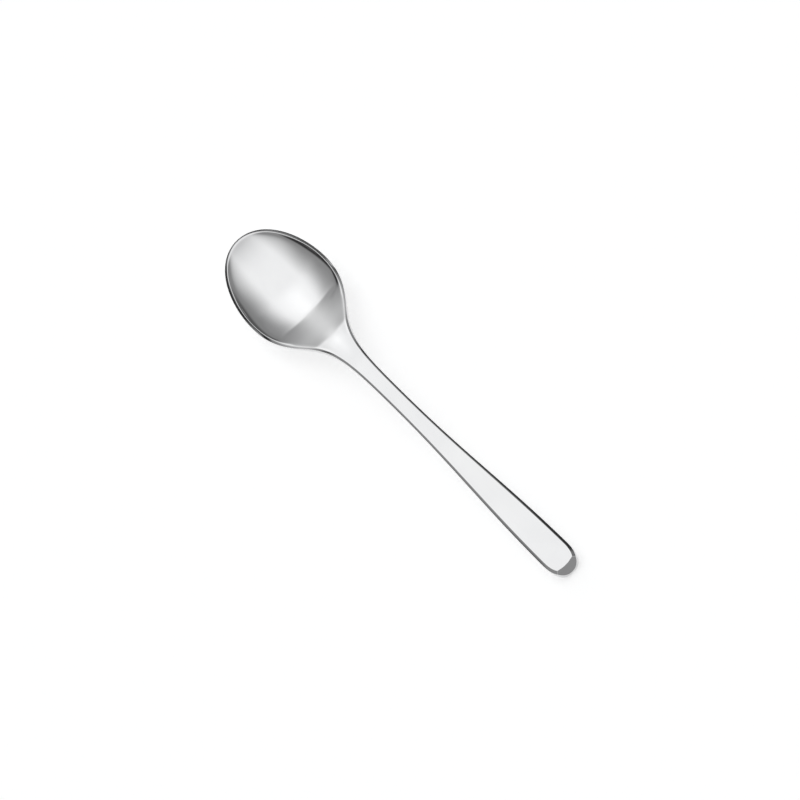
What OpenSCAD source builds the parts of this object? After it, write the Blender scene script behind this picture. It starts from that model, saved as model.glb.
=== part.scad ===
// Coffee spoon of polished steel, as it lies on a table.
// The table is the plane z = 0. The tip of the bowl points to -x and the end of the handle to +x.
// A station is a distance along the spoon from the tip of the bowl. Every size is in millimetres.

/* [Spoon] */
// Length from the tip of the bowl to the end of the handle
spoon_length = 112; // [104:1:124]

/* [Bowl] */
// Width of the bowl over its rim
bowl_width = 21.3; // [18:0.1:25]
// Depth of the hollow below the rim
bowl_depth = 2.9; // [2.4:0.1:3.6]
// Thickness of the steel at the bottom of the bowl
bowl_floor = 1.2; // [0.9:0.1:1.6]
// Width of the rim, from its outer edge to the hollow
rim_land = 0.64; // [0.6:0.02:0.9]
// Height of the upright edge of the rim
rim_edge = 0.95; // [0.9:0.05:1.3]
// Width of the bevel along the sides of the rim
rim_bevel = 0.56; // [0.4:0.02:0.58]
// Width of the bevel round the tip
tip_bevel = 0.74; // [0.5:0.02:0.8]
// Depth of the small, steep lip just inside the rim
lip_depth = 0.16; // [0.08:0.02:0.24]

/* [Neck] */
// Width of the neck at its thinnest place
neck_width = 3.5; // [3:0.1:5]
// Thickness of the neck
neck_thickness = 2.2; // [1.6:0.1:2.8]
// How far the neck climbs above the rim
neck_rise = 0.9; // [0.4:0.1:2.4]
// Width of the bevels along the neck
neck_bevel = 0.42; // [0.3:0.02:0.5]
// How far the edges stand above the middle where the bowl meets the neck
cheek_rise = 0.6; // [0.3:0.05:0.8]

/* [Handle] */
// Width of the handle near its end
handle_width = 6.6; // [5:0.1:9]
// Thickness of the handle before its end
handle_thickness = 2.3; // [1.9:0.1:3]
// Width of the bevel along the handle's edges near the end
handle_bevel = 0.58; // [0.44:0.02:0.8]
// Length of the rounded end
end_reach = 5.2; // [3.6:0.1:6]
// Length of the sloping face at the very end, seen from above
end_face = 1.25; // [1:0.05:1.6]
// Thickness that the sloping face leaves at the end
end_thickness = 0.7; // [0.5:0.05:0.9]

/* [Quality] */
// Steps across half of the top, and across half of the underside
across_steps = 8; // [6:1:10]
// Steps across each bevel
edge_steps = 4; // [3:1:5]

/* [Hidden] */
steel = "silver";

// Bowl outline: a round tip, then a soft shoulder down to the neck
bowl_middle = 17;
tip_reach = 25.2;
tip_power = 2.55;
shoulder = 32.4;
shoulder_softness = 3.7;

// Handle outline: it widens from the neck to a blunt, rounded end
widen_start = 54;
end_start = spoon_length - end_reach;
end_power = 2.5;

// Bevels: where their width changes, and their drop for each unit of width on rim, shoulders and handle
tip_span = [7, 18];
narrow_span = [22, 38];
rim_fall = 0.7;
shoulder_fall = 0.44;
handle_fall = 0.86;
flatten_span = [20, 29];
steepen_span = [32, 44];

// How much less they drop round the tip, and their power, from 1 for a round edge to 2 for a flat face
tip_ease = 0.3;
bevel_power = 1.96;

// Sloping face at the end: bulge of its upper border, rounding of its corners, bevel along its foot
end_bulge = 0.6;
corner_softness = 0.08;
end_bevel = 0.15;

// Section of the hollow and of the underside: nearly a parabola round the tip, a rounded cone at the neck
tip_roundness = 1.6;
neck_roundness = 0.55;
roundness_span = [12, 30];
lip_width = 0.4;
lip_fade = [24, 30];

// Cuts between the three zones, and the stations where the side profile changes
bowl_cut = 40;
neck_cut = 58;
run_out_blend = [10, 24];
run_out_span = [24, 39.6];
run_out_power = 0.8;
hollow_fade = [36, 52];
rise_span = [14, 38];
cheek_start = [29, 37];
cheek_stop = [36, 46];
drop_span = [36, spoon_length];
thicken_span = [24, 46];
swell_span = [56, spoon_length - 4];

// The underside of the handle's end is ground flat by this much, so that it lies on the table
rest_cut = 0.05;
rim_height = bowl_depth + bowl_floor;
handle_drop = rim_height + neck_rise - handle_thickness + rest_cut;
heel_depth = rim_height - rim_edge;

// Stations: close together round the two ends, even between them
tip_steps = 16;
tip_first_angle = 3.4;
tip_angle_step = (90 - tip_first_angle) / tip_steps;
bowl_steps = 16;
bowl_step = (bowl_cut - bowl_middle) / bowl_steps;
neck_steps = 9;
neck_step = (neck_cut - bowl_cut) / neck_steps;
handle_steps = 16;
handle_step = (end_start - neck_cut) / handle_steps;
end_steps = 12;
end_last_angle = 82;
end_angle_step = end_last_angle / end_steps;
slope_step = 0.001;
across_gain = 0.6;

// Soft step from 0 to 1, with no kink in its curvature at either end
function ease(t) = let (c = max(0, min(1, t))) c * c * c * (10 - 15 * c + 6 * c * c);
function ease_over(span, a) = ease((a - span[0]) / (span[1] - span[0]));

// Outline in plan
function tip_round(a) = sqrt(1 - pow(max(0, 1 - a / tip_reach), tip_power));
function bowl_share(a) = 1 / (1 + exp((a - shoulder) / shoulder_softness));
function stem_half(a) =
    (neck_width + (handle_width - neck_width) * ease_over([widen_start, spoon_length], a)) / 2;
function end_round(a) =
    let (c = max(0, min(1, (a - end_start) / end_reach))) pow(1 - pow(c, end_power), 1 / end_power);
bowl_gain = (bowl_width / 2 / tip_round(bowl_middle) - neck_width / 2) / bowl_share(bowl_middle);
function half_width(a) = tip_round(a) * (stem_half(a) + bowl_gain * bowl_share(a)) * end_round(a);
function slope(a) = (half_width(a + slope_step) - half_width(a - slope_step)) / (2 * slope_step);

// Side profile: height of the rim and of the handle's top, and height of the edge below that
function cheek(a) = cheek_rise * ease_over(cheek_start, a) * (1 - ease_over(cheek_stop, a));
function top_height(a) = rim_height
    + cheek(a)
    + neck_rise * ease_over(rise_span, a)
    - handle_drop * ease_over(drop_span, a);
function edge_height(a) = rim_edge
    + (neck_thickness - rim_edge) * ease_over(thicken_span, a)
    + (handle_thickness - neck_thickness) * ease_over(swell_span, a);

// The edge follows the outline square on round both ends, and lies straight across between them
function edge_lean(a) = a < spoon_length / 2
    ? 1 - ease_over([bowl_middle / 2, bowl_middle], a)
    : ease_over([end_start - end_reach / 2, end_start], a);

// Direction square to the outline, and how far a unit step into the steel moves along x and y
function square_out(a) = let (s = slope(a)) [-s, 1] / norm([-s, 1]);
function inward(a) =
    let (
        lean = edge_lean(a),
        way = lean * square_out(a) + (1 - lean) * [0, 1]
    )
    -way / (way * square_out(a));

// How far the outline faces along x: below 0 round the tip, above 0 round the end, where the last line is 1
function facing(a) =
    let (along = square_out(a).x)
    along < 0 ? along : along * ease_over([end_start - end_reach / 2, end_start], a);

// Width of the bevels along the stem, and of the upper bevel along the sides, which is wider on the rim
function stem_bevel(a) = neck_bevel + (handle_bevel - neck_bevel) * ease_over([widen_start, end_start], a);
function side_bevel(a) = stem_bevel(a)
    + (rim_bevel - neck_bevel) * (1 - ease_over(narrow_span, a))
    + (tip_bevel - rim_bevel) * (1 - ease_over(tip_span, a));

// Width of the upper bevel: it grows round the end, as far as a nearly straight line across the handle
function upper_bevel(a) =
    let (
        f = facing(a),
        side = side_bevel(a),
        to_line = (a - spoon_length + end_face + end_bulge * (1 - f)) / max(f, 0.05)
    )
    side + corner_softness * ln(1 + exp((to_line - side) / corner_softness));

// Drop of the upper bevel: less round the tip and at the shoulders, most of the thickness at the end
function upper_fall(a) = rim_fall
    + (shoulder_fall - rim_fall) * ease_over(flatten_span, a)
    + (handle_fall - shoulder_fall) * ease_over(steepen_span, a);
function upper_drop(a) =
    let (
        f = facing(a),
        at_side = upper_fall(a) * upper_bevel(a) * (1 - tip_ease * max(0, -f))
    )
    at_side + (handle_thickness - end_thickness - at_side) * pow(max(0, f), 8);

// Width of the lower bevel, which gets narrow along the foot of the sloping face
function lower_bevel(a) =
    stem_bevel(a) - (handle_bevel - end_bevel) * ease_over([end_start + end_reach / 2, spoon_length], a);

// Width of the flat between the upper bevel and the hollow
function land_width(a) =
    (rim_land - rim_bevel) * (1 - 0.7 * ease_over([end_start - end_reach, end_start], a));

// Course of a bevel from its inner border, at 0 degrees, to its outer border, at 90
function bevel_in(t) = 1 - pow(sin(t), bevel_power);
function bevel_down(t) = 1 - pow(cos(t), bevel_power);

// Run-out of the bowl towards the neck, from 0 to 1: it rises early and levels out slowly
function run_out(a) =
    ease(pow(max(0, a - run_out_span[0]) / (run_out_span[1] - run_out_span[0]), run_out_power));

// Share of the full depth of a dish, at a distance y from the middle of a section of the given half width
function dish(a, half, widest, y) =
    let (
        m = ease_over(run_out_blend, a),
        middle = (1 - m) * pow(half / widest, 2) + m * (1 - run_out(a)) + cheek(a) / bowl_depth,
        k = tip_roundness + (neck_roundness - tip_roundness) * ease_over(roundness_span, a),
        s = y / max(half, 0.001)
    )
    middle * (1 - (sqrt(s * s + k * k) - k) / (sqrt(1 + k * k) - k));

// Depth of the hollow: the dish and, close to the rim, a lip that fades round the tip and at the shoulders
hollow_half = bowl_width / 2 - rim_land;
function lip(a) =
    let (f = max(0, -facing(a)))
    lip_depth * (1 - f * f) * (1 - ease_over(lip_fade, a));
function hollow(a, half, y) =
    (1 - ease_over(hollow_fade, a)) * ((bowl_depth - lip_depth) * dish(a, half, hollow_half, y)
        + lip(a) * (1 - exp((y - half) / lip_width)));

// Height of the underside: it bulges below the edge of the bowl, and never reaches below the table
heel_half = bowl_width / 2;
function under_height(p) = max(0, top_height(p.x) - edge_height(p.x)
    - heel_depth * dish(p.x, half_width(p.x), heel_half, p.y));

// Points of the edge, inset from the outline: so much below the top, and so much above the underside
function inset_point(a, inset) = [a, half_width(a)] + inset * inward(a);
function upper_point(a, inset, drop) =
    let (p = inset_point(a, inset)) [p.x, p.y, top_height(p.x) - drop];
function lower_point(a, inset, lift) =
    let (p = inset_point(a, inset)) [p.x, p.y, under_height(p) + lift];

// Half of one ring round the steel: middle of the top, over the edge, middle of the underside
function half_ring(a) =
    let (
        upper = upper_bevel(a),
        drop = upper_drop(a),
        lower = lower_bevel(a),
        land = upper_point(a, upper + land_width(a), 0),
        under = lower_point(a, lower, 0),
        under_steps = across_steps + 1,
        power = 1 + across_gain * (1 - ease_over(hollow_fade, a))
    )
    concat(
        [for (k = [0:across_steps])
            let (y = land.y * (1 - pow(1 - k / across_steps, power)))
            [land.x, y, land.z - hollow(a, land.y, y)]],
        [for (k = [0:edge_steps]) let (t = 90 * k / edge_steps)
            upper_point(a, upper * bevel_in(t), drop * bevel_down(t))],
        [for (k = [edge_steps:-1:0]) let (t = 90 * k / edge_steps)
            lower_point(a, lower * bevel_in(t), lower * handle_fall * bevel_down(t))],
        [for (k = [across_steps:-1:0]) let (f = k / under_steps)
            [under.x, f * under.y, under_height([under.x, f * under.y])]]
    );

half_size = 2 * (across_steps + edge_steps + 2);
ring_size = 2 * half_size - 2;

// A whole ring: the half ring, and its mirror image back to the top
function ring(a) =
    let (h = half_ring(a))
    concat(h, [for (k = [half_size - 2:-1:1]) [h[k].x, -h[k].y, h[k].z]]);

// Numbers, within a ring, of the point across the spoon's middle and of the point below one of the top
function mirror_of(k) = (ring_size - k) % ring_size;
function below(k) = half_size - 1 - k;

// Triangles of a face given by the numbers of its points, fanned from the first of them
function fan(face) = [for (k = [1:len(face) - 2]) [face[0], face[k], face[k + 1]]];
function turned(face) = [for (k = [len(face) - 1:-1:0]) face[k]];

// Faces between one ring and the next
function skin_faces(rings) = [
    for (i = [0:rings - 2], j = [0:ring_size - 1])
        let (p = i * ring_size + j, q = i * ring_size + (j + 1) % ring_size)
        each fan([p, q, q + ring_size, p + ring_size])
];

// A rounded end is closed across the spoon's middle: the top, the upright edge and the underside
edge_first = across_steps + 1;
edge_last = edge_first + 2 * edge_steps;
function round_end() = concat(
    [concat([for (k = [edge_first:-1:0]) k], [for (k = [1:edge_first]) mirror_of(k)])],
    [for (k = [edge_first:edge_last - 1]) [k + 1, k, mirror_of(k), mirror_of(k + 1)]],
    [concat(
        [for (k = [edge_last:half_size - 2]) mirror_of(k)],
        [for (k = [half_size - 1:-1:edge_last]) k]
    )]
);

// A cut across the stem is closed by upright strips from the top to the underside
function cut_end() = [
    for (k = [0:half_size / 2 - 2], side = [0, 1])
        let (q = [k + 1, k, below(k), below(k + 1)])
        side == 0 ? q : turned([for (n = q) mirror_of(n)])
];

function cap_faces(faces, first, at_far_end) = [
    for (face = faces)
        let (shifted = [for (n = face) n + first])
        each fan(at_far_end ? turned(shifted) : shifted)
];

// Solid through the rings at the given stations, with a round or a cut end at each side
module spoon_zone(stations, near_round, far_round) {
    rings = len(stations);
    points = [for (a = stations, p = ring(a)) p - [spoon_length / 2, 0, 0]];
    near = cap_faces(near_round ? round_end() : cut_end(), 0, false);
    far = cap_faces(far_round ? round_end() : cut_end(), (rings - 1) * ring_size, true);
    polyhedron(points, concat(skin_faces(rings), near, far), convexity = 6);
}

// Hollow bowl with its rim, from the tip to the start of the neck
module bowl() {
    tip_stations = [
        for (k = [0:tip_steps]) bowl_middle * (1 - cos(tip_first_angle + k * tip_angle_step))
    ];
    back_stations = [for (k = [1:bowl_steps]) bowl_middle + k * bowl_step];
    color(steel) spoon_zone(concat(tip_stations, back_stations), true, false);
}

// Thin neck that climbs out of the bowl
module neck() {
    stations = [for (k = [0:neck_steps]) bowl_cut + k * neck_step];
    color(steel) spoon_zone(stations, false, false);
}

// Widening handle, with a flat under its end where it lies on the table
module handle() {
    stem_stations = [for (k = [0:handle_steps - 1]) neck_cut + k * handle_step];
    end_stations = [for (k = [0:end_steps]) end_start + end_reach * sin(k * end_angle_step)];
    color(steel) spoon_zone(concat(stem_stations, end_stations), false, true);
}

bowl();
neck();
handle();
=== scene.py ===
# %% [markdown]
# # A coffee spoon of polished steel
# The spoon was stamped from one strip of steel: a hollow bowl, a thin neck and a handle that widens to a
# bevelled end. The measured solids come first, as a fixed frame. They are right in size but faceted, and a
# mirror shows every facet, so this lesson lays one smooth surface over all three of them.

# %% Load the measured solids
import math

import bmesh
import bpy
import numpy as np
from mathutils import Matrix, Vector


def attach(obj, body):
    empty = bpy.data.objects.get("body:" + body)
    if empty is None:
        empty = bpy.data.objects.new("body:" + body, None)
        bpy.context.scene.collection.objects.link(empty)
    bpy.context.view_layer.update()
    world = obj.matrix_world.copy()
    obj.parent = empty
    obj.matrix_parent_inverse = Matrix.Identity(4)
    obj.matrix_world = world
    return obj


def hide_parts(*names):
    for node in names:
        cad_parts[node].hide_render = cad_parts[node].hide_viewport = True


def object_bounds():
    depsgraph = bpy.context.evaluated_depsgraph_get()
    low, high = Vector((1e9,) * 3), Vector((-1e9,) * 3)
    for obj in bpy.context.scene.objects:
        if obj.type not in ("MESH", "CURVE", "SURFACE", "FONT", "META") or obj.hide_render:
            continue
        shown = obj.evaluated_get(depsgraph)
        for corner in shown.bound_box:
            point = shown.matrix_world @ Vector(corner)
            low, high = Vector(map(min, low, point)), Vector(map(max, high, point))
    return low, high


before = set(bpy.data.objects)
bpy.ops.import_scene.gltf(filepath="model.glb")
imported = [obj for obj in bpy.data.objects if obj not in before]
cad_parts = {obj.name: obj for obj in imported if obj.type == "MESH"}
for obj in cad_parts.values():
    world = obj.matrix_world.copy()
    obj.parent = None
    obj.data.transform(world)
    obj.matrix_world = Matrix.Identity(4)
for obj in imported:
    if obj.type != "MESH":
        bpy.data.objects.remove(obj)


def plain_box():
    """Lowest and highest corner of everything that shows, as plain lists of numbers."""
    return [[float(value) for value in corner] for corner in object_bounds()]


cad_box = plain_box()
print("solids:", sorted(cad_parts), "box in metres:", cad_box)

# %% [markdown]
# ## The outline
# Seen from above, the spoon is an egg that runs out into a stem. It could be drawn as a curve through
# points. A formula is smoother: a rounded tip, a soft shoulder that lets the bowl fall away to the neck, a
# stem that slowly widens, and a blunt end. Half widths are kept squared, because a round tip has an
# endless slope in the width itself but an ordinary slope in its square. All lengths are millimetres until
# the mesh is made, and a station is a distance along the spoon from the tip of the bowl.

# %% Outline from above
LENGTH = 112.0
BOWL_WIDTH = 21.3
BOWL_MIDDLE = 17.0
TIP_REACH, TIP_POWER = 25.2, 2.55
SHOULDER, SHOULDER_SOFTNESS = 32.4, 3.7
NECK_WIDTH, HANDLE_WIDTH = 3.5, 6.6
WIDEN_START = 54.0
END_REACH, END_POWER = 5.2, 2.5
END_START = LENGTH - END_REACH


def soft_step(station, span):
    """Step from 0 to 1 over a span: c^3 (10 - 15 c + 6 c^2), with no kink in its curvature."""
    c = np.clip((station - span[0]) / (span[1] - span[0]), 0, 1)
    return c**3 * (10 - 15 * c + 6 * c * c)


def tip_squared(station):
    """Square of the tip's rounding: 1 - (1 - a / reach)^power."""
    return 1 - np.maximum(0, 1 - station / TIP_REACH) ** TIP_POWER


def bowl_share(station):
    """Share of the bowl's width that is left: 1 / (1 + e^((a - shoulder) / softness))."""
    return 1 / (1 + np.exp((station - SHOULDER) / SHOULDER_SOFTNESS))


tip_at_middle = math.sqrt(tip_squared(BOWL_MIDDLE))
BOWL_GAIN = (BOWL_WIDTH / 2 / tip_at_middle - NECK_WIDTH / 2) / bowl_share(BOWL_MIDDLE)


def squared_half_width(station):
    """Square of tip rounding x (half stem + bowl) x end rounding (1 - c^power)^(1 / power)."""
    stem = NECK_WIDTH + (HANDLE_WIDTH - NECK_WIDTH) * soft_step(station, (WIDEN_START, LENGTH))
    c = np.clip((station - END_START) / END_REACH, 0, 1)
    end = (1 - c**END_POWER) ** (1 / END_POWER)
    return tip_squared(station) * ((stem / 2 + BOWL_GAIN * bowl_share(station)) * end) ** 2


def half_width(station):
    """Half of the spoon's width at a station: the root of its square, which is never below 0."""
    return np.sqrt(np.maximum(0, squared_half_width(station)))


along = np.linspace(0, LENGTH, 2000)
stem_widths = 2 * half_width(along[(along > SHOULDER) & (along < END_START)])
print(f"widest {2 * half_width(along).max():.2f} mm, neck {stem_widths.min():.2f} mm")

# %% [markdown]
# ## The side profile
# From the side, the rim of the bowl lies level, the neck climbs out of it, and the handle sinks in a long
# curve to the table. Soft steps added together give the whole profile, without a kink that a mirror would
# show.

# %% Heights along the spoon
BOWL_DEPTH, BOWL_FLOOR, RIM_EDGE = 2.9, 1.2, 0.95
NECK_THICKNESS, NECK_RISE = 2.2, 0.9
HANDLE_THICKNESS = 2.3
RISE_SPAN, DROP_SPAN = (14.0, 38.0), (36.0, LENGTH)
THICKEN_SPAN, SWELL_SPAN = (24.0, 46.0), (56.0, LENGTH - 4)
CHEEK_RISE, CHEEK_START, CHEEK_STOP = 0.6, (29.0, 37.0), (36.0, 46.0)
REST_CUT = 0.05
RIM_HEIGHT = BOWL_DEPTH + BOWL_FLOOR
HANDLE_DROP = RIM_HEIGHT + NECK_RISE - HANDLE_THICKNESS + REST_CUT


def cheek(station):
    """How far the edges stand above the middle where bowl and neck meet: a soft step up, and one down."""
    return CHEEK_RISE * soft_step(station, CHEEK_START) * (1 - soft_step(station, CHEEK_STOP))


def top_height(station):
    """Height of rim and handle top: rim + cheek + climb of the neck - sinking of the handle."""
    climb = NECK_RISE * soft_step(station, RISE_SPAN) + cheek(station)
    return RIM_HEIGHT + climb - HANDLE_DROP * soft_step(station, DROP_SPAN)


def edge_height(station):
    """Height of the upright edge: thin at the rim, thicker in the neck, thickest in the handle."""
    neck = (NECK_THICKNESS - RIM_EDGE) * soft_step(station, THICKEN_SPAN)
    handle = (HANDLE_THICKNESS - NECK_THICKNESS) * soft_step(station, SWELL_SPAN)
    return RIM_EDGE + neck + handle


print(f"crest of the neck {top_height(along).max():.2f} mm above the table")

# %% [markdown]
# ## The edges
# A polished edge is never sharp. Here it is a narrow bevel with soft borders: its course is a
# superellipse, which is round at power 1 and a flat face at power 2. The bevel is widest round the tip,
# narrow along the neck and flatter at the shoulders of the bowl, and each of these changes moves the
# bright and dark lines that it mirrors. Round both ends of the spoon the bevel has to stand square to the
# outline, so every edge point is found by stepping inwards from the outline.

# %% Step inwards from the outline
SLOPE_STEP = 0.002


def step_inwards(station):
    """Move in x and y for one unit of inset, the outline's own y direction, and how far it faces along x.

    Square to the outline is (-w w', w) scaled to length 1, with w w' from the slope of w squared.
    Between the two ends the step leans over to straight across."""
    nearby = squared_half_width(station + SLOPE_STEP) - squared_half_width(station - SLOPE_STEP)
    across, outwards = half_width(station), -nearby / (4 * SLOPE_STEP)
    size = np.hypot(across, outwards)
    square_x, square_y = outwards / size, across / size
    at_tip = 1 - soft_step(station, (BOWL_MIDDLE / 2, BOWL_MIDDLE))
    at_end = soft_step(station, (END_START - END_REACH / 2, END_START))
    lean = np.where(station < LENGTH / 2, at_tip, at_end)
    way_x, way_y = lean * square_x, lean * square_y + 1 - lean
    reach = way_x * square_x + way_y * square_y
    facing = np.where(square_x < 0, square_x, at_end * square_x)
    return -way_x / reach, -way_y / reach, square_y, facing


tip_facing = step_inwards(np.array(BOWL_MIDDLE / 2))[3]
print(f"half way to the widest place the outline faces forwards by {-tip_facing:.2f}")

# %% [markdown]
# ## The bevels
# The upper bevel is the one that shows. Round the end of the handle it grows into a sloping face with a
# nearly straight upper border. A soft hinge, the logarithm of 1 + e^t, takes the larger of the two widths
# without a kink. The lower bevel only breaks the edge underneath, and it narrows again below the sloping
# face.

# %% Bevels
TIP_BEVEL, RIM_BEVEL, NECK_BEVEL, HANDLE_BEVEL = 0.74, 0.56, 0.42, 0.58
TIP_SPAN, NARROW_SPAN = (7.0, 18.0), (22.0, 38.0)
RIM_FALL, SHOULDER_FALL, HANDLE_FALL = 0.70, 0.44, 0.86
FLATTEN_SPAN, STEEPEN_SPAN = (20.0, 29.0), (32.0, 44.0)
TIP_EASE = 0.3
END_FACE, END_BULGE, END_THICKNESS, END_BEVEL = 1.25, 0.6, 0.7, 0.15
CORNER_SOFTNESS, LEAST_FACING, END_FOCUS = 0.08, 0.05, 8


def stem_bevel(station):
    """Width of a bevel along the stem: narrow on the neck, wider on the handle."""
    return NECK_BEVEL + (HANDLE_BEVEL - NECK_BEVEL) * soft_step(station, (WIDEN_START, END_START))


def side_bevel(station):
    """Width of the upper bevel along the sides: as on the stem, wider on the rim, widest round the tip."""
    rim = (RIM_BEVEL - NECK_BEVEL) * (1 - soft_step(station, NARROW_SPAN))
    return stem_bevel(station) + rim + (TIP_BEVEL - RIM_BEVEL) * (1 - soft_step(station, TIP_SPAN))


def upper_bevel(station, facing):
    """Width of the upper bevel: the side bevel or, if more, the way to a line across the end."""
    across_end = station - LENGTH + END_FACE + END_BULGE * (1 - facing)
    to_line = across_end / np.maximum(facing, LEAST_FACING)
    side = side_bevel(station)
    return side + CORNER_SOFTNESS * np.logaddexp(0, (to_line - side) / CORNER_SOFTNESS)


def upper_drop(station, facing):
    """Drop of the upper bevel: less round the tip and at the shoulders, most of the thickness at the end."""
    shoulder = (SHOULDER_FALL - RIM_FALL) * soft_step(station, FLATTEN_SPAN)
    fall = RIM_FALL + shoulder + (HANDLE_FALL - SHOULDER_FALL) * soft_step(station, STEEPEN_SPAN)
    at_side = fall * upper_bevel(station, facing) * (1 - TIP_EASE * np.maximum(0, -facing))
    return at_side + (HANDLE_THICKNESS - END_THICKNESS - at_side) * np.maximum(0, facing) ** END_FOCUS


def lower_bevel(station):
    """Width of the lower bevel: as along the stem, but narrow again below the sloping face."""
    below_face = soft_step(station, (END_START + END_REACH / 2, LENGTH))
    return stem_bevel(station) - (HANDLE_BEVEL - END_BEVEL) * below_face


print(f"bevels: rim {RIM_BEVEL} mm, handle {side_bevel(np.array(END_START)):.2f} mm, end face {END_FACE} mm")

# %% [markdown]
# ## The hollow
# The bowl is a dish pressed into the strip, and the underside bulges by about as much. Round the tip the
# depth follows the squared width, so hollow and bulge vanish by themselves where the outline closes.
# Towards the neck the hollow runs out on a soft step, and its section turns from a dish into a rounded
# cone. A small lip makes the wall steeper just inside the rim. It could be cut in with a boolean, but a
# boolean leaves a border that a mirror shows as a broken line, so all of it stays in one formula.

# %% Hollow, lip and underside
RIM_LAND = 0.08
RUN_OUT_SPAN, RUN_OUT_POWER, RUN_OUT_BLEND = (24.0, 39.6), 0.8, (10.0, 24.0)
TIP_ROUNDNESS, NECK_ROUNDNESS, ROUNDNESS_SPAN = 1.6, 0.55, (12.0, 30.0)
LIP_DEPTH, LIP_WIDTH, LIP_FADE = 0.16, 0.4, (24.0, 30.0)
HOLLOW_HALF = BOWL_WIDTH / 2 - RIM_BEVEL - RIM_LAND
HEEL_DEPTH = RIM_HEIGHT - RIM_EDGE


def run_out(station):
    """Soft step from 0 to 1 over the run-out; the power below 1 makes it rise early and level out slowly."""
    start, stop = RUN_OUT_SPAN
    return soft_step(np.clip((station - start) / (stop - start), 0, 1) ** RUN_OUT_POWER, (0, 1))


def dish(station, half, widest, y):
    """Share of the full depth at y, and how steep it is at the border y = half.

    Along the middle: (1 - m) (half / widest)^2 + m (1 - run-out) + cheek / depth. Across, with s = y / half:
    1 - (sqrt(s^2 + k^2) - k) / (sqrt(1 + k^2) - k), nearly a parabola for k above 1, a rounded cone for a
    small k."""
    m = soft_step(station, RUN_OUT_BLEND)
    middle = (1 - m) * (half / widest) ** 2 + m * (1 - run_out(station)) + cheek(station) / BOWL_DEPTH
    k = TIP_ROUNDNESS + (NECK_ROUNDNESS - TIP_ROUNDNESS) * soft_step(station, ROUNDNESS_SPAN)
    span, border = np.sqrt(1 + k * k) - k, np.maximum(half, 1e-6)
    across = 1 - (np.sqrt((y / border) ** 2 + k * k) - k) / span
    return middle * across, middle / (np.sqrt(1 + k * k) * span * border)


def lip_depth(station, facing):
    """Depth of the lip inside the rim: less by f^2 where the rim faces forwards by f, none at the neck."""
    return LIP_DEPTH * (1 - np.maximum(0, -facing) ** 2) * (1 - soft_step(station, LIP_FADE))


def under_height(x, y):
    """Underside: the upright edge below the top, less a dish that is as deep as the edge leaves room for."""
    bulge = HEEL_DEPTH * dish(x, half_width(x), BOWL_WIDTH / 2, y)[0]
    return np.maximum(0, top_height(x) - edge_height(x) - bulge)


print(f"hollow {BOWL_DEPTH} mm deep, {2 * HOLLOW_HALF:.2f} mm wide, with a lip of {LIP_DEPTH} mm")

# %% [markdown]
# ## Rings round the steel
# A spoon is a profile carried along a path. Each ring starts in the middle of the top, dips through the
# hollow, crosses the rim and the bevel, goes down the upright edge, and comes back under the bowl. The
# same soft hinge as before keeps the border between hollow and rim crisp but unbroken.

# %% Half rings
HOLLOW_FADE = (36.0, 52.0)
INNER_SOFTNESS, END_LAND_LOSS, BEVEL_POWER = 0.05, 0.7, 1.96
HOLLOW_STEPS, LAND_STEPS, BEVEL_STEPS, UNDER_STEPS = 30, 8, 10, 20
HOLLOW_CROWDING = 1.4
WALL_SHARES = np.array([[0.04, 0.5, 0.96]])


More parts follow.
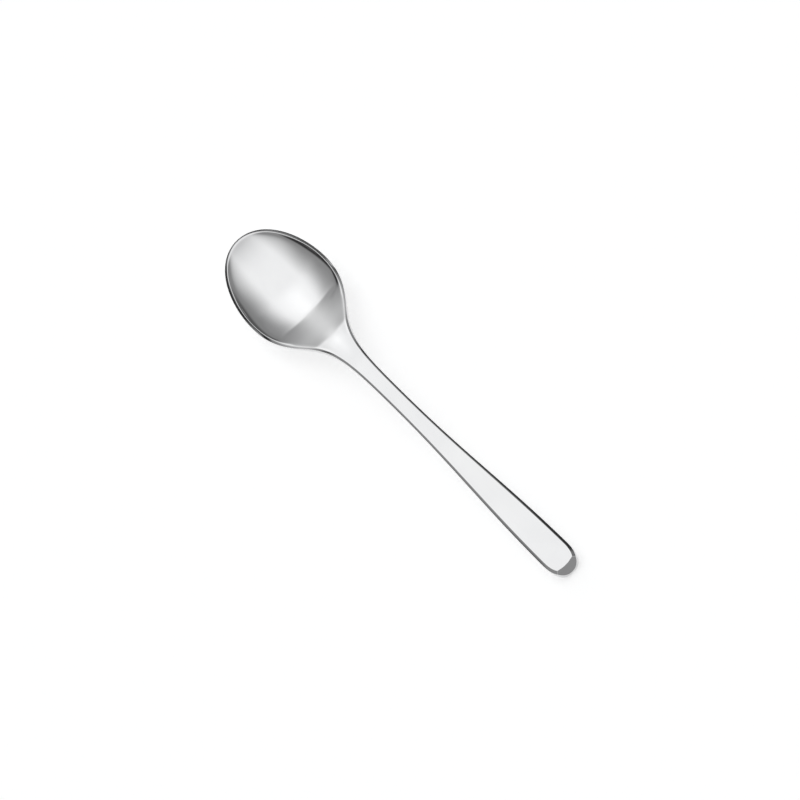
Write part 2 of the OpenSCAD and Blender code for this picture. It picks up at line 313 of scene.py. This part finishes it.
def half_rings(stations):
    """Points of all half rings, from the middle of the top over the +y edge to the middle underneath."""
    a = np.asarray(stations, float)[:, None]
    in_x, in_y, square_y, facing = step_inwards(a)
    width, bevel, foot = half_width(a), upper_bevel(a, facing), lower_bevel(a)
    land = bevel + RIM_LAND * (1 - END_LAND_LOSS * soft_step(a, (END_START - END_REACH, END_START)))
    land_y = width + land * in_y
    lip, depth = lip_depth(a, facing), BOWL_DEPTH - LIP_DEPTH
    steepness = depth * dish(a, land_y, HOLLOW_HALF, land_y)[1] + lip / LIP_WIDTH
    steepness = steepness / np.maximum(square_y, 1e-3)
    fade = 1 - soft_step(a, HOLLOW_FADE)

    def sink(depth_below):
        """Soft hinge of the depth: nothing outside the rim's inner border, the full depth inside."""
        return fade * INNER_SOFTNESS * np.logaddexp(0, depth_below / INNER_SOFTNESS)

    def edge(inset):
        """Place in x and y at an inset: the outline's own point + inset x step inwards."""
        return a + inset * in_x, width + inset * in_y

    share = 1 - (1 - np.linspace(0, 1, HOLLOW_STEPS + 1)[None, :-1]) ** HOLLOW_CROWDING
    hollow_x, hollow_y = a + land * in_x + 0 * share, share * land_y
    in_dish = depth * dish(a, land_y, HOLLOW_HALF, hollow_y)[0]
    in_lip = lip * (1 - np.exp((hollow_y - land_y) / LIP_WIDTH))
    hollow_z = top_height(hollow_x) - sink(in_dish + in_lip)

    land_inset = bevel + (land - bevel) * np.linspace(1, 0, LAND_STEPS + 1)[None, :-1]
    land_x, land_points_y = edge(land_inset)
    land_z = top_height(land_x) - sink(-steepness * (land - land_inset))

    turn = np.linspace(0, math.pi / 2, BEVEL_STEPS + 1)[None]
    inward, downward = 1 - np.sin(turn) ** BEVEL_POWER, 1 - np.abs(np.cos(turn)) ** BEVEL_POWER
    upper_x, upper_y = edge(bevel * inward)
    upper_sink = sink(-steepness * (land - bevel * inward))
    upper_z = top_height(upper_x) - upper_drop(a, facing) * downward - upper_sink
    lower_x, lower_y = edge(foot * inward[:, ::-1])
    lower_z = under_height(lower_x, lower_y) + foot * HANDLE_FALL * downward[:, ::-1]

    wall_x, wall_y = upper_x[:, -1:] + 0 * WALL_SHARES, upper_y[:, -1:] + 0 * WALL_SHARES
    wall_z = upper_z[:, -1:] + (lower_z[:, :1] - upper_z[:, -1:]) * WALL_SHARES

    back = np.linspace(1, 0, UNDER_STEPS + 1)[None, 1:]
    under_x, under_y = a + foot * in_x + 0 * back, back * (width + foot * in_y)
    under_z = under_height(under_x, under_y)

    x = [hollow_x, land_x, upper_x, wall_x, lower_x, under_x]
    y = [hollow_y, land_points_y, upper_y, wall_y, lower_y, under_y]
    z = [hollow_z, land_z, upper_z, wall_z, lower_z, under_z]
    return np.stack([np.concatenate(part, axis=1) for part in (x, y, z)], axis=-1)


print("points in a half ring:", half_rings([BOWL_MIDDLE]).shape[1])

# %% [markdown]
# ## One smooth skin
# Stations lie close together round the two ends and at the sloping face, where the surface turns fast. The
# grid of rings becomes the mesh in one go. At the very tip and end a ring has no width left, so its two
# halves lie on each other, and merging them closes the skin. Last, it is fitted to the box of the solids.
# That moves it by a few hundredths of a millimetre, because the faceted solids stop just short of the true
# ends.

# %% Stations and rings
END_RINGS, BOWL_RINGS, STEM_RINGS = 91, 104, 71
STEM_START = 58.0
quarter = np.linspace(0, math.pi / 2, END_RINGS)
stations = np.concatenate([
    BOWL_MIDDLE * (1 - np.cos(quarter)),
    np.linspace(BOWL_MIDDLE, STEM_START, BOWL_RINGS)[1:],
    np.linspace(STEM_START, END_START, STEM_RINGS)[1:],
    END_START + END_REACH * np.sin(quarter)[1:],
])
halves = half_rings(stations) - [LENGTH / 2, 0, 0]
rings = np.concatenate([halves, halves[:, -2:0:-1] * [1, -1, 1]], axis=1) / 1000
own_low, own_high = rings.min(axis=(0, 1)), rings.max(axis=(0, 1))
cad_low, cad_high = np.array(cad_box)
rings = cad_low + (rings - own_low) * (cad_high - cad_low) / (own_high - own_low)
print("rings:", rings.shape[0], "points each:", rings.shape[1])

# %% Mesh of the spoon
MERGE_DISTANCE = 2e-7


def grid_faces(ring_count, ring_size):
    """Quads between each ring and the next, closed round the ring: corners i, i + 1, and both one ring on."""
    first = np.arange(ring_count - 1)[:, None] * ring_size
    here = first + np.arange(ring_size)[None]
    there = first + (np.arange(ring_size)[None] + 1) % ring_size
    return np.stack([here, there, there + ring_size, here + ring_size], axis=-1)


mesh = bpy.data.meshes.new("spoon")
faces = grid_faces(*rings.shape[:2]).reshape(-1, 4)
mesh.from_pydata(rings.reshape(-1, 3).tolist(), [], faces.tolist())
skin = bmesh.new()
skin.from_mesh(mesh)
bmesh.ops.remove_doubles(skin, verts=skin.verts, dist=MERGE_DISTANCE)
bmesh.ops.recalc_face_normals(skin, faces=skin.faces)
skin.to_mesh(mesh)
open_edges = sum(1 for edge in skin.edges if not edge.is_manifold)
skin.free()
mesh.polygons.foreach_set("use_smooth", np.ones(len(mesh.polygons), bool))
spoon = bpy.data.objects.new("spoon", mesh)
bpy.context.scene.collection.objects.link(spoon)
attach(spoon, "root")
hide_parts("bowl", "neck", "handle")
print("faces:", len(mesh.polygons), "open edges:", open_edges)

# %% [markdown]
# ## Polished steel
# The finish is a mirror polish on stainless steel. Two things keep it from looking like a render: the last
# polishing wheel leaves hairlines along the spoon, and handling leaves faint cloudy patches. Both are too
# small to see as lines here, but they soften the reflections by places. Noise on object coordinates does
# it: drawn out along the length for the hairlines, coarse for the clouds.

# %% Noise for the steel
steel = bpy.data.materials.new("polished_steel")
steel.use_nodes = True
nodes, links = steel.node_tree.nodes, steel.node_tree.links
shader = nodes["Principled BSDF"]
shader.inputs["Metallic"].default_value = 1.0
place = nodes.new("ShaderNodeTexCoord")
NOISE_LOW, NOISE_HIGH = 0.3, 0.7


def noise_on_object(scale, stretch, detail):
    """Noise over object coordinates, stretched by a Mapping node; returns its value socket."""
    mapping = nodes.new("ShaderNodeMapping")
    mapping.inputs["Scale"].default_value = stretch
    texture = nodes.new("ShaderNodeTexNoise")
    texture.inputs["Scale"].default_value = scale
    texture.inputs["Detail"].default_value = detail
    links.new(place.outputs["Object"], mapping.inputs["Vector"])
    links.new(mapping.outputs["Vector"], texture.inputs["Vector"])
    return texture.outputs["Fac"]


def remap(value, low, high):
    """The middle of the noise spread over low to high."""
    node = nodes.new("ShaderNodeMapRange")
    spans = (("From Min", NOISE_LOW), ("From Max", NOISE_HIGH), ("To Min", low), ("To Max", high))
    for name, number in spans:
        node.inputs[name].default_value = number
    links.new(value, node.inputs["Value"])
    return node.outputs["Result"]


hairlines = noise_on_object(9000, (0.02, 1, 1), 3)
clouds = noise_on_object(140, (0.6, 1, 1), 4)
print("steel nodes for the noise:", len(nodes))

# %% Colour, gloss and hairlines
CLOUDED_STEEL, CLEAR_STEEL = (0.70, 0.70, 0.705, 1), (0.745, 0.745, 0.745, 1)
CLOUD_ROUGHNESS, HAIRLINE_ROUGHNESS = (0.03, 0.07), (0.0, 0.03)
HAIRLINE_STRENGTH, HAIRLINE_DEPTH = 0.03, 0.00002
tone = nodes.new("ShaderNodeValToRGB")
clouded, clear = tone.color_ramp.elements
clouded.position, clear.position = NOISE_LOW, NOISE_HIGH
clouded.color, clear.color = CLOUDED_STEEL, CLEAR_STEEL
links.new(clouds, tone.inputs["Fac"])
links.new(tone.outputs["Color"], shader.inputs["Base Color"])
haze = nodes.new("ShaderNodeMath")
haze.operation = "ADD"
links.new(remap(clouds, *CLOUD_ROUGHNESS), haze.inputs[0])
links.new(remap(hairlines, *HAIRLINE_ROUGHNESS), haze.inputs[1])
links.new(haze.outputs["Value"], shader.inputs["Roughness"])
bump = nodes.new("ShaderNodeBump")
bump.inputs["Strength"].default_value = HAIRLINE_STRENGTH
bump.inputs["Distance"].default_value = HAIRLINE_DEPTH
links.new(hairlines, bump.inputs["Height"])
links.new(bump.outputs["Normal"], shader.inputs["Normal"])
mesh.materials.append(steel)
print("steel nodes:", len(nodes))

# %% [markdown]
# ## The table
# The spoon lies on a plain white table top. The floor is matt, and keeps the spoon's soft shadow. The
# light alone would leave it a pale grey, so rays from the camera and from the mirror of the steel see a
# little added white. Other rays don't see it, so it lights nothing else.

# %% Floor
FLOOR_RADIUS, FLOOR_GAP, FLOOR_CORNERS = 3.0, 0.00002, 96
around = np.linspace(0, 2 * math.pi, FLOOR_CORNERS, endpoint=False)
border = np.stack([np.cos(around), np.sin(around), 0 * around], axis=-1) * FLOOR_RADIUS
floor_mesh = bpy.data.meshes.new("floor")
floor_mesh.from_pydata((border - [0, 0, FLOOR_GAP]).tolist(), [], [list(range(FLOOR_CORNERS))])
floor = bpy.data.objects.new("floor", floor_mesh)
bpy.context.scene.collection.objects.link(floor)
print("floor radius in metres:", FLOOR_RADIUS)

# %% White of the table
FLOOR_WHITE, ADDED_WHITE = 0.92, 0.49
table = bpy.data.materials.new("white_table")
table.use_nodes = True
table_nodes, table_links = table.node_tree.nodes, table.node_tree.links
table_shader = table_nodes["Principled BSDF"]
table_shader.inputs["Base Color"].default_value = (FLOOR_WHITE, FLOOR_WHITE, FLOOR_WHITE, 1)
table_shader.inputs["Roughness"].default_value = 1.0
table_shader.inputs["Specular IOR Level"].default_value = 0.0
table_shader.inputs["Emission Color"].default_value = (1, 1, 1, 1)
ray = table_nodes.new("ShaderNodeLightPath")
seen = ray.outputs["Is Camera Ray"]
for kind in ("Is Glossy Ray", "Is Transmission Ray"):
    either = table_nodes.new("ShaderNodeMath")
    either.operation = "ADD"
    table_links.new(seen, either.inputs[0])
    table_links.new(ray.outputs[kind], either.inputs[1])
    seen = either.outputs["Value"]
added = table_nodes.new("ShaderNodeMath")
added.operation = "MULTIPLY"
added.inputs[1].default_value = ADDED_WHITE
table_links.new(seen, added.inputs[0])
table_links.new(added.outputs["Value"], table_shader.inputs["Emission Strength"])
floor_mesh.materials.append(table)
print("table nodes:", len(table_nodes))

# %% [markdown]
# ## Soft studio light
# Polished steel shows the room, so the light is drawn as a room: one large diffuser overhead that reaches
# from above the handle to far behind the bowl, over grey walls. It could be a panel, but a panel gets in
# the way of a camera above, so it is painted on the world by direction. Every direction is placed on a map
# of the sky: zenith in the middle, the far side at +v, the +y side at +u, both in degrees from the zenith.

# %% Sky map
world = bpy.data.worlds.new("studio")
bpy.context.scene.world = world
world.use_nodes = True
sky, sky_links = world.node_tree.nodes, world.node_tree.links


def calc(operation, *values):
    """Math node over numbers and sockets; returns its value socket."""
    node = sky.new("ShaderNodeMath")
    node.operation = operation
    for slot, value in zip(node.inputs, values):
        if isinstance(value, (int, float)):
            slot.default_value = value
        else:
            sky_links.new(value, slot)
    return node.outputs["Value"]


def product(first, *others):
    """Product of numbers and sockets, one Math node for each step."""
    for other in others:
        first = calc("MULTIPLY", first, other)
    return first


direction = sky.new("ShaderNodeTexCoord")
split = sky.new("ShaderNodeSeparateXYZ")
sky_links.new(direction.outputs["Generated"], split.inputs["Vector"])
to_x, to_y, to_z = (split.outputs[name] for name in "XYZ")
from_zenith = product(calc("ARCCOSINE", to_z), 180 / math.pi)
level = calc("SQRT", calc("ADD", product(to_x, to_x), product(to_y, to_y)))
degrees = calc("DIVIDE", from_zenith, calc("MAXIMUM", level, 1e-6))
u = product(degrees, to_y)
v = product(degrees, to_x, -1)
u_size = calc("ABSOLUTE", u)
print("sky map nodes:", len(sky))

# %% [markdown]
# ## The diffuser
# The hollow of the bowl mirrors the diffuser as its long highlight. Soft sides let the highlight fade
# across the bowl, and a crisp far edge, bent a little, ends it in a clear line where the hollow runs out.
# Nearer than the zenith the diffuser is narrower. All its edges are smooth steps on the map.

# %% Diffuser
DIFFUSER_LEVEL = 1.18
SIDE_EDGE, FAR_EDGE, NEAR_EDGE = (20, 44), (49, 57), (-26, 18)
NARROWEST, WIDENING, NARROWING, FAR_BEND = 1.4, 0.4, 0.15, 0.012
WIDENING_SPAN, NARROWING_SPAN = (-2, 22), (36, 52)


def soft(value, span):
    """Smooth step from 0 to 1 over a span on the map."""
    node = sky.new("ShaderNodeMapRange")
    node.interpolation_type = "SMOOTHSTEP"
    node.inputs["From Min"].default_value, node.inputs["From Max"].default_value = span
    sky_links.new(value, node.inputs["Value"])
    return node.outputs["Result"]


def rest(share):
    """What a share leaves of the whole: 1 - share."""
    return calc("SUBTRACT", 1, share)


narrow = calc("SUBTRACT", NARROWEST, product(soft(v, WIDENING_SPAN), WIDENING))
narrow = calc("ADD", narrow, product(soft(v, NARROWING_SPAN), NARROWING))
inside_sides = rest(soft(product(u_size, narrow), SIDE_EDGE))
far_line = calc("SUBTRACT", v, product(u, u, FAR_BEND))
diffuser = product(inside_sides, rest(soft(far_line, FAR_EDGE)), soft(v, NEAR_EDGE))
print("sky nodes with the diffuser:", len(sky))

# %% [markdown]
# ## The walls
# The rim and the bevels mirror the walls, far from the zenith. In a studio such walls are darkened with
# black cards, which draw the dark lines that give polished metal its outline. On the left there is one
# narrow card and a dark foot, on the right a broad card with a lighter strip in it. The near corners are
# left pale, for the spoon's sides seen from elsewhere.

# %% Left wall
LEFT_LEVEL, LEFT_EDGE, WALL_FOOT = 0.28, (-36, -10), (80, 86)
LEFT_CARD_OUTER, LEFT_CARD_INNER, LEFT_CARD_NEAR = (-60, -56), (-52, -45), (4, 14)
LEFT_FOOT_SIDE, LEFT_FOOT_TOP = (-64, -58), (74, 79)


def band(value, rise, fall):
    """1 between two soft borders: the step up less the step down."""
    return calc("SUBTRACT", soft(value, rise), soft(value, fall))


above_foot = rest(soft(from_zenith, WALL_FOOT))
left_card = product(band(u, LEFT_CARD_OUTER, LEFT_CARD_INNER), soft(v, LEFT_CARD_NEAR))
left_foot = product(soft(u, LEFT_FOOT_SIDE), soft(from_zenith, LEFT_FOOT_TOP))
left_light = rest(calc("MAXIMUM", left_card, left_foot))
left_wall = product(rest(soft(u, LEFT_EDGE)), left_light, above_foot, LEFT_LEVEL)
print("sky nodes with the left wall:", len(sky))

# %% Right wall
RIGHT_LEVEL, RIGHT_EDGE = 0.26, (10, 36)
RIGHT_CARD, RIGHT_CARD_INNER, RIGHT_CARD_NEAR = 0.7, (44, 54), (12, 30)
OUTER_CARD, OUTER_CARD_INNER = 0.3, (62, 68)
STRIP_LEVEL, STRIP_INNER, STRIP_OUTER = 0.75, (57.5, 59.5), (69.5, 71)
STRIP_LOSS, STRIP_LOSS_SPAN = 0.62, (62, 66)
STRIP_NEAR, STRIP_FAR = (16, 26), (40, 50)
right_card = product(soft(u, RIGHT_CARD_INNER), soft(v, RIGHT_CARD_NEAR), RIGHT_CARD)
right_card = calc("ADD", right_card, product(soft(u, OUTER_CARD_INNER), OUTER_CARD))
right_wall = product(soft(u, RIGHT_EDGE), rest(right_card), above_foot, RIGHT_LEVEL)
strip = calc("SUBTRACT", soft(u, STRIP_INNER), product(soft(u, STRIP_LOSS_SPAN), STRIP_LOSS))
strip = product(strip, rest(soft(u, STRIP_OUTER)), band(v, STRIP_NEAR, STRIP_FAR), STRIP_LEVEL)
print("sky nodes with the right wall:", len(sky))

# %% Far wall, near wall and near corners
FAR_LEVEL, FAR_LOSS, FAR_LOSS_SPAN = 0.83, 0.56, (2, 40)
FAR_GAIN, FAR_GAIN_SPAN = 0.14, (54, 70)
FAR_SIDES, FAR_FOOT, FAR_START = (38, 50), (83, 88), (20, 50)
FAR_CARD_SIDE, FAR_CARD_TOP = (-34, -24), (77, 81)
NEAR_LEVEL, NEAR_START = 0.30, (-60, -20)
CORNER_LEVEL, CORNER_LEAN, CORNER_EDGE = 0.5, 0.5, (-23, -12)
CORNER_NEAR, CORNER_INNER, CORNER_OUTER = (-58, -40), (14, 26), (58, 68)
far_level = calc("SUBTRACT", FAR_LEVEL, product(soft(u_size, FAR_LOSS_SPAN), FAR_LOSS))
far_gain = calc("SUBTRACT", 1 + FAR_GAIN, product(soft(v, FAR_GAIN_SPAN), FAR_GAIN))
far_card = product(soft(from_zenith, FAR_CARD_TOP), rest(soft(u, FAR_CARD_SIDE)))
far_part = product(rest(soft(u_size, FAR_SIDES)), rest(soft(from_zenith, FAR_FOOT)), rest(far_card))
far_wall = product(far_level, far_gain, far_part, soft(v, FAR_START))
near_wall = product(rest(soft(v, NEAR_START)), NEAR_LEVEL)
corner_line = calc("SUBTRACT", v, product(u_size, CORNER_LEAN))
corners = product(rest(soft(corner_line, CORNER_EDGE)), soft(v, CORNER_NEAR))
corners = product(corners, band(u_size, CORNER_INNER, CORNER_OUTER), CORNER_LEVEL)
print("sky nodes with all walls:", len(sky))

# %% [markdown]
# ## The whole sky
# The brightest wall counts in each direction, with a little grey below it, and the diffuser covers the
# walls. A faint glow sits just inside the diffuser's far edge: a bell curve e^(-d^2 / 2) in the distance d
# from its middle. It makes the brightest place of the highlight.

# %% Sky from its parts
WALL_BASE = 0.04
GLOW_PLACE, GLOW_WIDTH, GLOW_HEIGHT, GLOW_LEVEL = 41.5, 13, 5.5, 0.2
SKY_TINT = (0.99, 0.995, 1.0)
walls = near_wall
for wall in (left_wall, right_wall, strip, corners, far_wall):
    walls = calc("MAXIMUM", walls, wall)
walls = calc("ADD", walls, WALL_BASE)
lit = calc("ADD", walls, product(diffuser, calc("SUBTRACT", DIFFUSER_LEVEL, walls)))
off_u = calc("DIVIDE", u, GLOW_WIDTH)
off_v = calc("DIVIDE", calc("SUBTRACT", v, GLOW_PLACE), GLOW_HEIGHT)
off = calc("ADD", product(off_u, off_u), product(off_v, off_v))
glow = calc("EXPONENT", product(off, -0.5))
total = calc("ADD", lit, product(glow, GLOW_LEVEL))
tint = sky.new("ShaderNodeVectorMath")
tint.operation = "SCALE"
tint.inputs[0].default_value = SKY_TINT
sky_links.new(total, tint.inputs["Scale"])
background = sky["Background"]
background.inputs["Strength"].default_value = 1.0
sky_links.new(tint.outputs["Vector"], background.inputs["Color"])
print("sky nodes:", len(sky))

# %% [markdown]
# ## The camera
# The photograph looks down on the spoon from beyond the end of the handle, and the camera is rolled, so
# that the spoon lies across the frame. A long lens keeps the perspective flat. The camera is built from
# its own three axes: back towards the viewer, right and up, turned about the line of sight by the roll. A
# small shift of the camera, in pixels of the photograph, brings the spoon to its place in the frame.

# %% Camera at the photograph's angle
ELEVATION, AZIMUTH, ROLL = (math.radians(angle) for angle in (57.0, -1.03, 44.29))
DISTANCE, PIXELS_PER_MM, IMAGE_SIZE, SENSOR = 0.7, 4.941, 800, 36.0
MIDDLE = Vector((0, 0, 0.004))
OFF_CENTRE = (5.94, -4.21)
back = Vector((
    math.cos(ELEVATION) * math.cos(AZIMUTH),
    math.cos(ELEVATION) * math.sin(AZIMUTH),
    math.sin(ELEVATION),
))
right = Vector((-math.sin(AZIMUTH), math.cos(AZIMUTH), 0))
up = back.cross(right)
rolled_x = math.cos(ROLL) * right - math.sin(ROLL) * up
rolled_y = math.sin(ROLL) * right + math.cos(ROLL) * up
eye = MIDDLE + DISTANCE * back
eye += (OFF_CENTRE[0] * rolled_x + OFF_CENTRE[1] * rolled_y) / PIXELS_PER_MM / 1000
lens = bpy.data.cameras.new("camera")
lens.sensor_width = SENSOR
lens.lens = PIXELS_PER_MM * DISTANCE * 1000 / IMAGE_SIZE * SENSOR
lens.clip_start = 0.01
camera = bpy.data.objects.new("camera", lens)
camera.matrix_world = Matrix.Translation(eye) @ Matrix((rolled_x, rolled_y, back)).transposed().to_4x4()
bpy.context.scene.collection.objects.link(camera)
bpy.context.scene.camera = camera
bpy.context.scene.view_settings.view_transform = "Standard"
print(f"lens {lens.lens:.1f} mm, camera at {tuple(round(value, 4) for value in eye)}")
